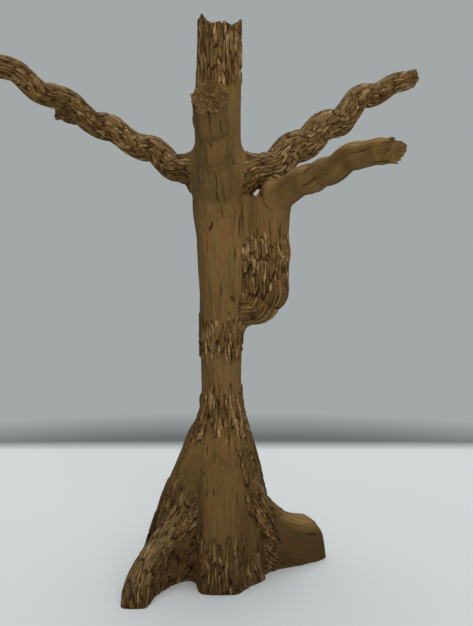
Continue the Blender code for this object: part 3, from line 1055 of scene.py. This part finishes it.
@dataclass(kw_only=True)
class Bough(Limb):
    """A bough or second stem that climbs from its carrier by crooked steps to a broken end."""

    start: tuple[float, float, float]
    runs: tuple[tuple[float, float, float], ...]  # length, heading and climb in degrees
    base_radius: float
    tip_radius: float
    swell: float = 0.0  # how much thicker it is half way, as a share
    crook: float = 0.17  # the share of a run's climb that each of its flatter ends makes
    phase: float = 0.0
    winding: float = 0.10  # radians that the grain winds in each metre
    buried: float = 0.35  # length of its base inside its carrier, where it hardly flows
    columns: int = 140
    row_step: float = 0.026
    tooth_width: float = 0.07  # of the splinters round the broken end
    break_step: float = 0.011  # between the rows of the break

    def __post_init__(self) -> None:
        """Draws the centre line once."""
        whole = sum(run[0] for run in self.runs)
        point, gone = np.array(self.start), 0.0
        corners = [(*self.start, self.base_radius)]
        for number, (length, heading, climb) in enumerate(self.runs):
            crook = self.crook + 0.05 * math.sin(2.4 * number + self.phase)
            turn, rise = math.radians(heading), math.radians(climb)
            level = math.cos(rise)
            along = np.array((math.cos(turn) * level, math.sin(turn) * level, math.sin(rise))) * length
            # The shares of the run gone and of its climb, and how thick the limb is there.
            for part, climbed, knuckle in ((0.3, crook, 0.98), (0.7, 1 - crook, 0.98), (1.0, 1.0, 1.04)):
                share = (gone + part * length) / whole
                radius = self.base_radius + (self.tip_radius - self.base_radius) * share
                radius *= knuckle * (1 + self.swell * math.sin(math.pi * share))
                corners.append((*(point + along * (part, part, climbed)), radius))
            point, gone = point + along, gone + length
        self.line = smooth_curve(np.array(corners), round(whole / self.row_step))
        whole = np.linalg.norm(np.diff(self.line[:, :3], axis=0), axis=1).sum()
        self.gone = np.linspace(0, 1, len(self.line)) * whole

    def frames(self) -> tuple[Array, Array, Array]:
        """Works out the ways ahead and across at each point of the line.

        Returns:
            The way ahead, and two ways across it that turn with it and don't twist.
        """
        places = self.line[:, :3]
        ahead = np.gradient(places, axis=0)
        ahead /= np.linalg.norm(ahead, axis=1, keepdims=True)
        side = Vector(ahead[0]).cross(Vector((0, 0, 1)))
        side = side.normalized() if side.length > 0.1 else Vector((1, 0, 0))
        sides, before = [], Vector(ahead[0])
        for way in map(Vector, ahead):
            side = before.rotation_difference(way) @ side
            side = (side - way * side.dot(way)).normalized()
            sides.append(tuple(side))
            before = way
        sides = np.array(sides)
        return ahead, sides, np.cross(ahead, sides)

    def outside(self, points: Array) -> Array:
        """Measures how far points are outside the bough.

        Args:
            points: The points, with the axes last.

        Returns:
            Their distances, negative inside the bough and FAR_OFF wherever it is plainly far off.
        """
        flat = points.reshape(-1, 3)
        near = beside(flat, self.line, 3)
        found = np.full(len(flat), FAR_OFF)
        chosen, least = flat[near], np.full(int(near.sum()), FAR_OFF)
        for x, y, z, radius in self.line[::2]:
            away = np.sqrt((chosen[:, 0] - x) ** 2 + (chosen[:, 1] - y) ** 2 + (chosen[:, 2] - z) ** 2)
            np.minimum(least, away - radius, out=least)
        found[near] = least
        return found.reshape(points.shape[:-1])

    def skin(self) -> Skin:
        """Rolls the bough's plain skin.

        Returns:
            The skin, with how freely it may flow into its neighbours noted on it.
        """
        self.ahead, side, up = self.frames()
        angle, gone = np.meshgrid(np.linspace(0, math.tau, self.columns + 1), self.gone)
        out = np.cos(angle)[..., None] * side[:, None] + np.sin(angle)[..., None] * up[:, None]
        reach = self.line[:, 3:] * (1 + fluting(angle, gone, self.phase))
        place = self.line[:, None, :3] + out * reach[..., None]
        mean = float(self.line[:, 3].mean())
        turned = angle + self.winding * gone
        lie = np.stack((mean * np.cos(turned), mean * np.sin(turned), gone + 20 * self.phase), axis=-1)
        values = {"lie": lie, "easing": np.clip(gone / self.buried, 0, 1)}
        return Skin(place, out, mean * turned, gone, mean * math.tau, values)

    def close(self, skin: Skin) -> tuple[Array, dict[str, Array]]:
        """Adds the buried base and the splintered broken end.

        Args:
            skin: The bough's finished skin.

        Returns:
            All rows' places and what they carry.
        """
        place, radius = skin.place, self.line[-1, 3]
        angle = np.linspace(0, math.tau, place.shape[1])
        slant = 0.30 * np.sin(angle + self.phase) + 0.16 * np.sin(3 * angle + 2 * self.phase)  # in radii
        count = max(round(math.tau * radius / self.tooth_width), 6)
        seed = 81 + round(10 * self.phase)
        tooth = lay_cells(angle / math.tau * count, np.zeros(angle.shape), count, seed)
        share = step_up(self.gone[-1] - 1.6 * radius, self.gone[-1], self.gone)[:, None]
        shift = share * radius * (slant - 0.30 * tooth.level**3)
        place = place + self.ahead[-1] * shift[..., None]
        skin.place = place
        rows = max(round(radius / self.break_step), 12)
        inner, deep = close_break(place[-1], self.ahead[-1], radius, rows, seed + 1)
        base = np.broadcast_to(place[0].mean(axis=0), place[0].shape)
        return join_rows(np.concatenate((base[None], place, inner)), skin, deep)


@dataclass(kw_only=True)
class Root(Limb):
    """A surface root: a ridge that runs out from the trunk, falls as it goes, and dives at its toe."""

    heading: float  # degrees from +X towards +Y
    curl: float  # degrees that it turns on its way
    height: float
    length: float
    steepness: float
    half_width: float
    toe_half_width: float
    phase: float = 0.0
    rest: float = 0.46  # how high its back still lies near the toe
    shoulder: float = 1.0  # above 1 it leaves the trunk more level
    bluntness: float = 7.0  # how suddenly it dives at its toe
    dive: float = 0.20  # how far below the ground its back ends
    neck: float = 0.60  # how wide it is at the trunk's middle, as a share of its half width
    neck_end: float = 0.35  # the share of its length after which it has its full half width
    skirt: float = 0.35  # how much wider its flanks are at the ground
    columns: int = 150
    row_step: float = 0.030
    start: float = 0.30  # how far from the trunk's middle the skin begins

    def __post_init__(self) -> None:
        """Draws the ridge once, in fine steps from the trunk's middle to where it goes below the ground."""
        t = np.linspace(0, 1, 2000)
        turn = np.radians(self.heading + self.curl * t)
        way = np.stack((np.cos(turn), np.sin(turn)), axis=1)
        path = np.vstack(((0, 0), np.cumsum(way[1:] * self.length / (len(t) - 1), axis=0)))
        dive = t**self.bluntness
        top = self.height * (1 - t**self.shoulder) ** self.steepness
        top = top + self.rest * (1 - dive) - self.dive * dive
        end = self.neck_end
        neck = self.neck + (1 - self.neck) * np.sin(math.pi / 2 * np.minimum(t / end, 1))
        widening = self.toe_half_width - self.half_width
        half = self.half_width * neck + widening * np.maximum(0, (t - end) / (1 - end))
        shown = top > 0.02
        self.ridge = np.column_stack((path, way, top, half, t))[shown]
        out = self.ridge[:, 6] * self.length >= self.start
        rows = self.ridge[out]
        steps = np.hypot(np.diff(rows[:, 6]) * self.length, np.diff(rows[:, 4]))
        gone = np.concatenate(([0.0], np.cumsum(steps)))
        wanted = np.linspace(0, gone[-1], round(gone[-1] / self.row_step))
        self.rows = np.stack([np.interp(wanted, gone, values) for values in rows.T], axis=1)
        self.gone = wanted

    def outside(self, points: Array) -> Array:
        """Measures how far points are outside the root.

        Args:
            points: The points, with the axes last.

        Returns:
            Their distances, negative inside the root and FAR_OFF wherever it is plainly far off.
        """
        flat = points.reshape(-1, 3)
        near = (flat[:, 2] < self.height + self.rest + 0.6) & beside(flat, self.ridge, 2)
        found = np.full(len(flat), FAR_OFF)
        x, y, z = flat[near].T
        least = np.full(x.shape, FAR_OFF)
        stride = max(len(self.ridge) // 60, 1)
        for px, py, ax, ay, top, half, _ in self.ridge[::stride]:
            dx, dy = x - px, y - py
            ahead, aside = dx * ax + dy * ay, np.abs(dy * ax - dx * ay)
            rise = z - (top - half)
            down = np.clip(-rise / (top - half + SKIRT_DROP), 0, 1)
            leg = aside - half * (1 + self.skirt * down**SKIRT_CURVE)
            reach = np.where(rise > 0, np.hypot(aside, rise) - half, leg)
            away = np.where(reach > 0, np.hypot(reach, ahead), reach + np.abs(ahead))
            np.minimum(least, away, out=least)
        found[near] = least
        return found.reshape(points.shape[:-1])

    def skin(self) -> Skin:
        """Lays the root's plain skin.

        Returns:
            The skin, from the root's right foot over its back to its left foot.
        """
        x, y, ahead_x, ahead_y, top, half, t = (values[:, None] for values in self.rows.T)
        centre = top - half
        sunk = np.arcsin(np.clip(-centre / half, 0, 0.999))  # where the ground cuts the back, if it does
        leg = np.maximum(centre, 0)
        bow = (math.pi - 2 * sunk) * half
        whole = 2 * leg + bow
        spread = np.linspace(0, 1, self.columns) * whole
        angle = np.clip((spread - leg) / half, 0, bow / half) + sunk
        low = np.where(spread < leg, leg - spread, np.where(spread > leg + bow, spread - leg - bow, 0))
        down = low / (centre + SKIRT_DROP)
        aside = np.cos(angle)
        reach = half * (1 + fluting(angle, t * self.length, self.phase))
        wider = self.skirt * half * np.clip(down, 0, 1) ** SKIRT_CURVE
        across = aside * reach + np.sign(aside) * wider
        rise = np.sin(angle) * reach * (low == 0) + centre - low
        place = np.stack((x - ahead_y * across, y + ahead_x * across, np.maximum(rise, 0)), axis=-1)
        slope = np.gradient(self.rows[:, 4], self.rows[:, 6] * self.length)[:, None]
        lean = 1 / np.sqrt(1 + slope**2)
        back = np.where(low > 0, 0, np.sin(angle))
        ahead = np.clip(-slope, 0, 3) * lean * back
        out_x, out_y = ahead_x * ahead - ahead_y * aside, ahead_y * ahead + ahead_x * aside
        out = np.stack((out_x, out_y, lean * back), axis=-1)
        grain = (spread - whole / 2) - np.sign(spread - whole / 2) * low * (1 - lean)
        pace = np.linalg.norm(np.gradient(place, axis=0), axis=-1) / self.row_step
        along = np.cumsum(np.gradient(self.gone)[:, None] * step_up(0.05, 0.30, pace), axis=0)
        lie = np.stack((grain, np.zeros(grain.shape), along + 30 + 9 * self.phase), axis=-1)
        return Skin(place, out, grain, along, 0.0, {"lie": lie})

    def close(self, skin: Skin) -> tuple[Array, dict[str, Array]]:
        """Adds the buried start, the toe and the flat underside.

        Args:
            skin: The root's finished skin.

        Returns:
            All rows' places and what they carry.
        """
        place = skin.place
        place[..., 2] = np.maximum(place[..., 2], 0)
        place[:, (0, -1), 2] = 0
        place = np.concatenate((place, place[:, :1]), axis=1)
        for title, value in skin.values.items():
            skin.values[title] = np.concatenate((value, value[:, :1]), axis=1)
        skin.place = place
        start = np.broadcast_to(place[0].mean(axis=0) * (1, 1, 0), place[0].shape)
        toe = np.broadcast_to(place[-1].mean(axis=0) * (1, 1, 0), place[-1].shape)
        return join_rows(np.concatenate((start[None], place, toe[None])), skin, None)


# --------------------------------------------------------------------------------------------------
# The tree
# --------------------------------------------------------------------------------------------------

TRUNK_FINISH = DeadWood("Trunk_dead_wood")
BOUGH_FINISH = DeadWood("Bough_dead_wood", 0.008, 0.003)
ROOT_FINISH = DeadWood("Root_dead_wood", 0.010, 0.004)


@dataclass
class DeadTree:
    """The whole tree: its trunk, the second stem and boughs, and the roots round its foot."""

    collar: float = 0.50  # how wide a bough flows into the trunk
    buttress: float = 0.42  # how wide a root flows into the trunk and its neighbours

    def trunk(self) -> Trunk:
        """Sizes the trunk.

        Returns:
            The trunk, with the patches that have lost their bark.
        """
        bare = (
            Patch(low=1.1, high=3.46, heading=-90, spread=170),
            Patch(low=4.47, high=5.34),
            Patch(low=6.31, high=11.6),
        )
        return Trunk(
            name="trunk",
            relief=Relief(seed=100, patches=bare),
            finish=TRUNK_FINISH,
            line=(
                (0.0, 0.00, 0.00, 0.80),
                (0.6, 0.00, 0.00, 0.69),
                (1.4, 0.00, 0.00, 0.61),
                (2.4, 0.00, 0.02, 0.55),
                (3.4, 0.01, 0.05, 0.51),
                (4.6, 0.03, 0.08, 0.485),
                (5.8, 0.01, -0.05, 0.50),
                (7.0, -0.01, -0.25, 0.51),
                (8.2, -0.02, -0.45, 0.52),
                (9.4, -0.02, -0.58, 0.54),
                (10.6, -0.02, -0.62, 0.51),
                (11.8, -0.01, -0.60, 0.495),
                (12.92, 0.00, -0.55, 0.47),
            ),
        )

    def boughs(self) -> list[Bough]:
        """Sizes the limbs that the trunk carries.

        Returns:
            The second stem and the boughs.
        """
        bark = dict(plate_width=0.078, plate_length=0.46, depth=0.028)
        return [
            Bough(
                name="stem_right", finish=TRUNK_FINISH, start=(0.20, -0.08, 6.56),
                relief=Relief(seed=200, patches=(Patch(low=8.22),)),
                runs=((0.68, -10, 5), (0.40, -24, 56), (0.95, -90, 82), (1.30, -95, 73)),
                base_radius=0.36, tip_radius=0.50, swell=0.20, crook=0.28, phase=1.3, columns=210,
                neighbours={"trunk": self.collar, "bough_right_low": 0.34},
            ),
            Bough(
                name="bough_front", finish=BOUGH_FINISH, start=(0.00, -0.50, 8.86),
                relief=Relief(seed=300, condition=Condition.BARE),
                runs=((1.00, -94, 36), (1.08, -92, 34), (1.03, -91, 30), (0.80, -91, 27)),
                base_radius=0.42, tip_radius=0.35, crook=0.22, phase=0.2, columns=190,
                neighbours={"trunk": self.collar},
            ),
            Bough(
                name="bough_left", finish=BOUGH_FINISH, start=(-0.05, -0.55, 9.43),
                relief=Relief(seed=400, **bark),
                runs=((0.92, 163, 23), (1.12, 157, 25), (1.10, 168, 28), (1.57, -127, 20), (1.27, -143, 24),
                      (0.60, -153, 18)),
                base_radius=0.31, tip_radius=0.215, phase=2.6,
                neighbours={"trunk": self.collar, "bough_left_fork": 0.26},
            ),
            Bough(
                name="bough_right_high", finish=BOUGH_FINISH, start=(0.05, -0.55, 9.40),
                relief=Relief(seed=500, **bark),
                runs=((1.03, 15, 18), (1.20, 34, 29), (1.21, 41, 30), (1.62, 40, 29), (1.10, 27, 22),
                      (0.42, 20, 14)),
                base_radius=0.38, tip_radius=0.215, swell=0.12, phase=3.9, columns=150,
                neighbours={"trunk": self.collar},
            ),
            Bough(
                name="bough_right_low", finish=BOUGH_FINISH, start=(1.05, -0.70, 8.54),
                relief=Relief(seed=600, condition=Condition.BARE),
                runs=((0.75, -60, 56), (1.05, -53, 18), (0.57, -48, 16), (1.03, -60, 15), (0.58, -49, 5),
                      (0.30, -42, 0)),
                base_radius=0.36, tip_radius=0.25, phase=5.0, columns=150,
                neighbours={"stem_right": 0.34},
            ),
            Bough(
                name="bough_left_fork", finish=BOUGH_FINISH, start=(-2.62, 0.22, 10.74),
                relief=Relief(seed=700, plate_width=0.066, plate_length=0.32, depth=0.022),
                runs=((1.15, 146, 16), (0.55, 150, 13)),
                base_radius=0.19, tip_radius=0.15, phase=0.9, columns=100, row_step=0.024,
                neighbours={"bough_left": 0.26},
            ),
        ]  # fmt: skip

    def roots(self) -> list[Root]:
        """Sizes the roots.

        Returns:
            The roots, each with the patches that have lost their bark.
        """
        # Name, heading, curl, height, length, steepness, half width, toe's half width, phase and the rest.
        sizes = (
            ("root_front", -90, 0, 3.20, 1.54, 0.95, 0.48, 0.46, 0.5, dict(bluntness=12)),
            ("root_left", 170, -20, 3.60, 2.20, 1.50, 0.46, 0.24, 1.7, dict(shoulder=1.9)),
            ("root_right", 4, 30, 3.50, 2.66, 2.80, 0.43, 0.42, 2.9, dict(rest=1.04, bluntness=30)),
            ("root_back_left", 130, -12, 3.70, 2.20, 1.45, 0.42, 0.24, 4.1, dict(shoulder=1.6)),
            ("root_back_right", 48, 14, 3.80, 2.20, 1.60, 0.42, 0.25, 5.3, dict(shoulder=1.8)),
            ("root_back", 90, 16, 3.20, 2.00, 1.50, 0.38, 0.24, 0.1, {}),
            ("root_left_front", 184, 90, 2.40, 3.24, 1.90, 0.40, 0.29, 3.3, dict(rest=0.52, bluntness=18)),
            ("root_right_front", -40, -14, 2.90, 1.35, 1.30, 0.38, 0.28, 2.2, {}),
        )
        bare = {
            "root_front": (Patch(low=1.08, high=3.4, heading=-90, spread=150),),
            "root_left": (Patch(low=2.15, high=3.2),),
            "root_back_left": (Patch(low=2.05, high=3.3),),
            "root_right": (Patch(near=1.45),),
            "root_right_front": (Patch(low=0.62, high=1.6),),
        }
        made = []
        for number, row in enumerate(sizes):
            name, heading, curl, height, length, steepness, half, toe, phase, more = row
            others = {other[0]: self.buttress for other in sizes if other[0] != name}
            relief = Relief(
                plate_width=0.085, plate_length=0.70, depth=0.034, seed=800 + 50 * number,
                patches=bare.get(name, ()), gnarl=2.6 if name == "root_right" else 1.4,
            )  # fmt: skip
            made.append(
                Root(
                    name=name, finish=ROOT_FINISH, relief=relief, heading=heading, curl=curl, height=height,
                    length=length, steepness=steepness, half_width=half, toe_half_width=toe, phase=phase,
                    neighbours={"trunk": self.buttress, **others}, **more,
                )
            )  # fmt: skip
        return made

    def build(self, box: tuple[Array, Array]) -> None:
        """Makes and dresses every limb.

        Args:
            box: The lowest and highest corner that no piece may pass.
        """
        limbs = [self.trunk(), *self.boughs(), *self.roots()]
        tree = {limb.name: limb for limb in limbs}
        trunk = tree["trunk"]
        for limb in limbs[1:]:
            if limb.neighbours.get("trunk"):
                trunk.neighbours[limb.name] = limb.neighbours["trunk"]
        bark, wood = BarkFinish().group(), BareWoodFinish().group()
        finishes = dict.fromkeys(limb.finish for limb in limbs)
        materials = {finish: finish.material(bark, wood) for finish in finishes}
        for limb in limbs:
            piece = limb.build(tree, box)
            limb.dress(piece, materials[limb.finish])
            LOG.info("%s: %d faces", piece.name, len(piece.data.polygons))


# --------------------------------------------------------------------------------------------------
# Studio
# --------------------------------------------------------------------------------------------------


@dataclass
class Studio:
    """A pale square floor, a grey background with painted shade where they meet, wide soft suns and the
    camera.
    """

    floor_half: float = 10.35
    floor_fade: float = 1.15  # how far in from its edge the floor darkens into the painted shade
    floor_colour: Colour = (197, 200, 200)
    wall_colour: Colour = (163, 168, 169)
    foot_shade: Colour = (105, 110, 110)  # the painted shade of the background where it meets the floor
    horizon: tuple[float, float] = (-0.292, -0.262)  # how steeply the view falls where the background turns
    softness: float = 50.0  # degrees that each sun spans; wide suns have soft shadows
    # Each sun's name, strength, lean to the front and turn to the right, in degrees.
    suns: tuple[tuple[str, float, float, float], ...] = (
        ("soft_sun", 2.0, -8, 0), ("soft_fill", 2.5, 87, 12), ("soft_back", 0.5, -68, -12),
    )  # fmt: skip
    eye: tuple[float, float, float] = (0.38, -18.6, 9.0)
    tilt: float = 82.0  # degrees from straight down
    sensor: float = 36.0
    lens: float = 785 / 626 * 36

    def floor(self) -> None:
        """Lays the floor."""
        mesh = bmesh.new()
        bmesh.ops.create_grid(mesh, x_segments=1, y_segments=1, size=self.floor_half)
        data = bpy.data.meshes.new("floor")
        mesh.to_mesh(data)
        mesh.free()
        floor = bpy.data.objects.new("floor", data)
        bpy.context.scene.collection.objects.link(floor)
        paint = bpy.data.materials.new("Floor_pale")
        paint.use_nodes = True
        shader = paint.node_tree.nodes["Principled BSDF"]
        nodes = Nodes(paint.node_tree)
        place = nodes.add("TexCoord")
        axes = nodes.add("SeparateXYZ")
        nodes.feed(axes.inputs[0], place.outputs["Object"])
        sides = (nodes.maths("ABSOLUTE", axes.outputs[title]) for title in ("X", "Y"))
        half = self.floor_half
        # The floor darkens towards its edge into the painted shade at the background's foot.
        edge = nodes.spread(nodes.maths("MAXIMUM", *sides), half - self.floor_fade, half)
        colour = nodes.blend(edge, linear(self.floor_colour), linear(self.foot_shade))
        nodes.feed(shader.inputs["Base Color"], colour)
        shader.inputs["Roughness"].default_value = 0.95
        shader.inputs["Specular IOR Level"].default_value = 0.0
        data.materials.append(paint)
        floor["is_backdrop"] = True
        LOG.info("%s: %d faces", floor.name, len(data.polygons))

    def light(self) -> None:
        """Sets the background's light and the suns: from above, low in front and from behind."""
        world = bpy.data.worlds.new("Studio")
        world.use_nodes = True
        bpy.context.scene.world = world
        nodes = Nodes(world.node_tree)
        place = nodes.add("TexCoord")
        axes = nodes.add("SeparateXYZ")
        nodes.feed(axes.inputs[0], place.outputs["Generated"])
        # Painted shade: the background darkens where it meets the floor.
        rise = nodes.spread(axes.outputs["Z"], *self.horizon)
        colour = nodes.blend(rise, linear(self.foot_shade), linear(self.wall_colour))
        nodes.feed(world.node_tree.nodes["Background"].inputs["Color"], colour)
        for name, strength, lean, turn in self.suns:
            sun = bpy.data.lights.new(name, "SUN")
            sun.energy = strength
            sun.angle = math.radians(self.softness)
            lamp = bpy.data.objects.new(name, sun)
            lamp.rotation_euler = (math.radians(lean), 0, math.radians(turn))
            bpy.context.scene.collection.objects.link(lamp)

    def camera(self) -> None:
        """Sets up the camera, level with the lowest boughs and looking a little down."""
        data = bpy.data.cameras.new("camera")
        data.sensor_width = self.sensor
        data.lens = self.lens
        camera = bpy.data.objects.new("camera", data)
        camera.location = self.eye
        camera.rotation_euler = (math.radians(self.tilt), 0, 0)
        bpy.context.scene.collection.objects.link(camera)
        bpy.context.scene.camera = camera


def main() -> None:
    """Builds the studio and the tree inside the box of the solids."""
    logging.basicConfig(level=logging.INFO, format="%(name)s %(message)s")
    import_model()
    solids = [list(corner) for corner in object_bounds()]
    studio = Studio()
    studio.camera()
    studio.light()
    studio.floor()
    bpy.context.scene.view_settings.view_transform = "Standard"
    DeadTree().build((np.array(solids[0]), np.array(solids[1])))


if __name__ == "__main__":
    main()
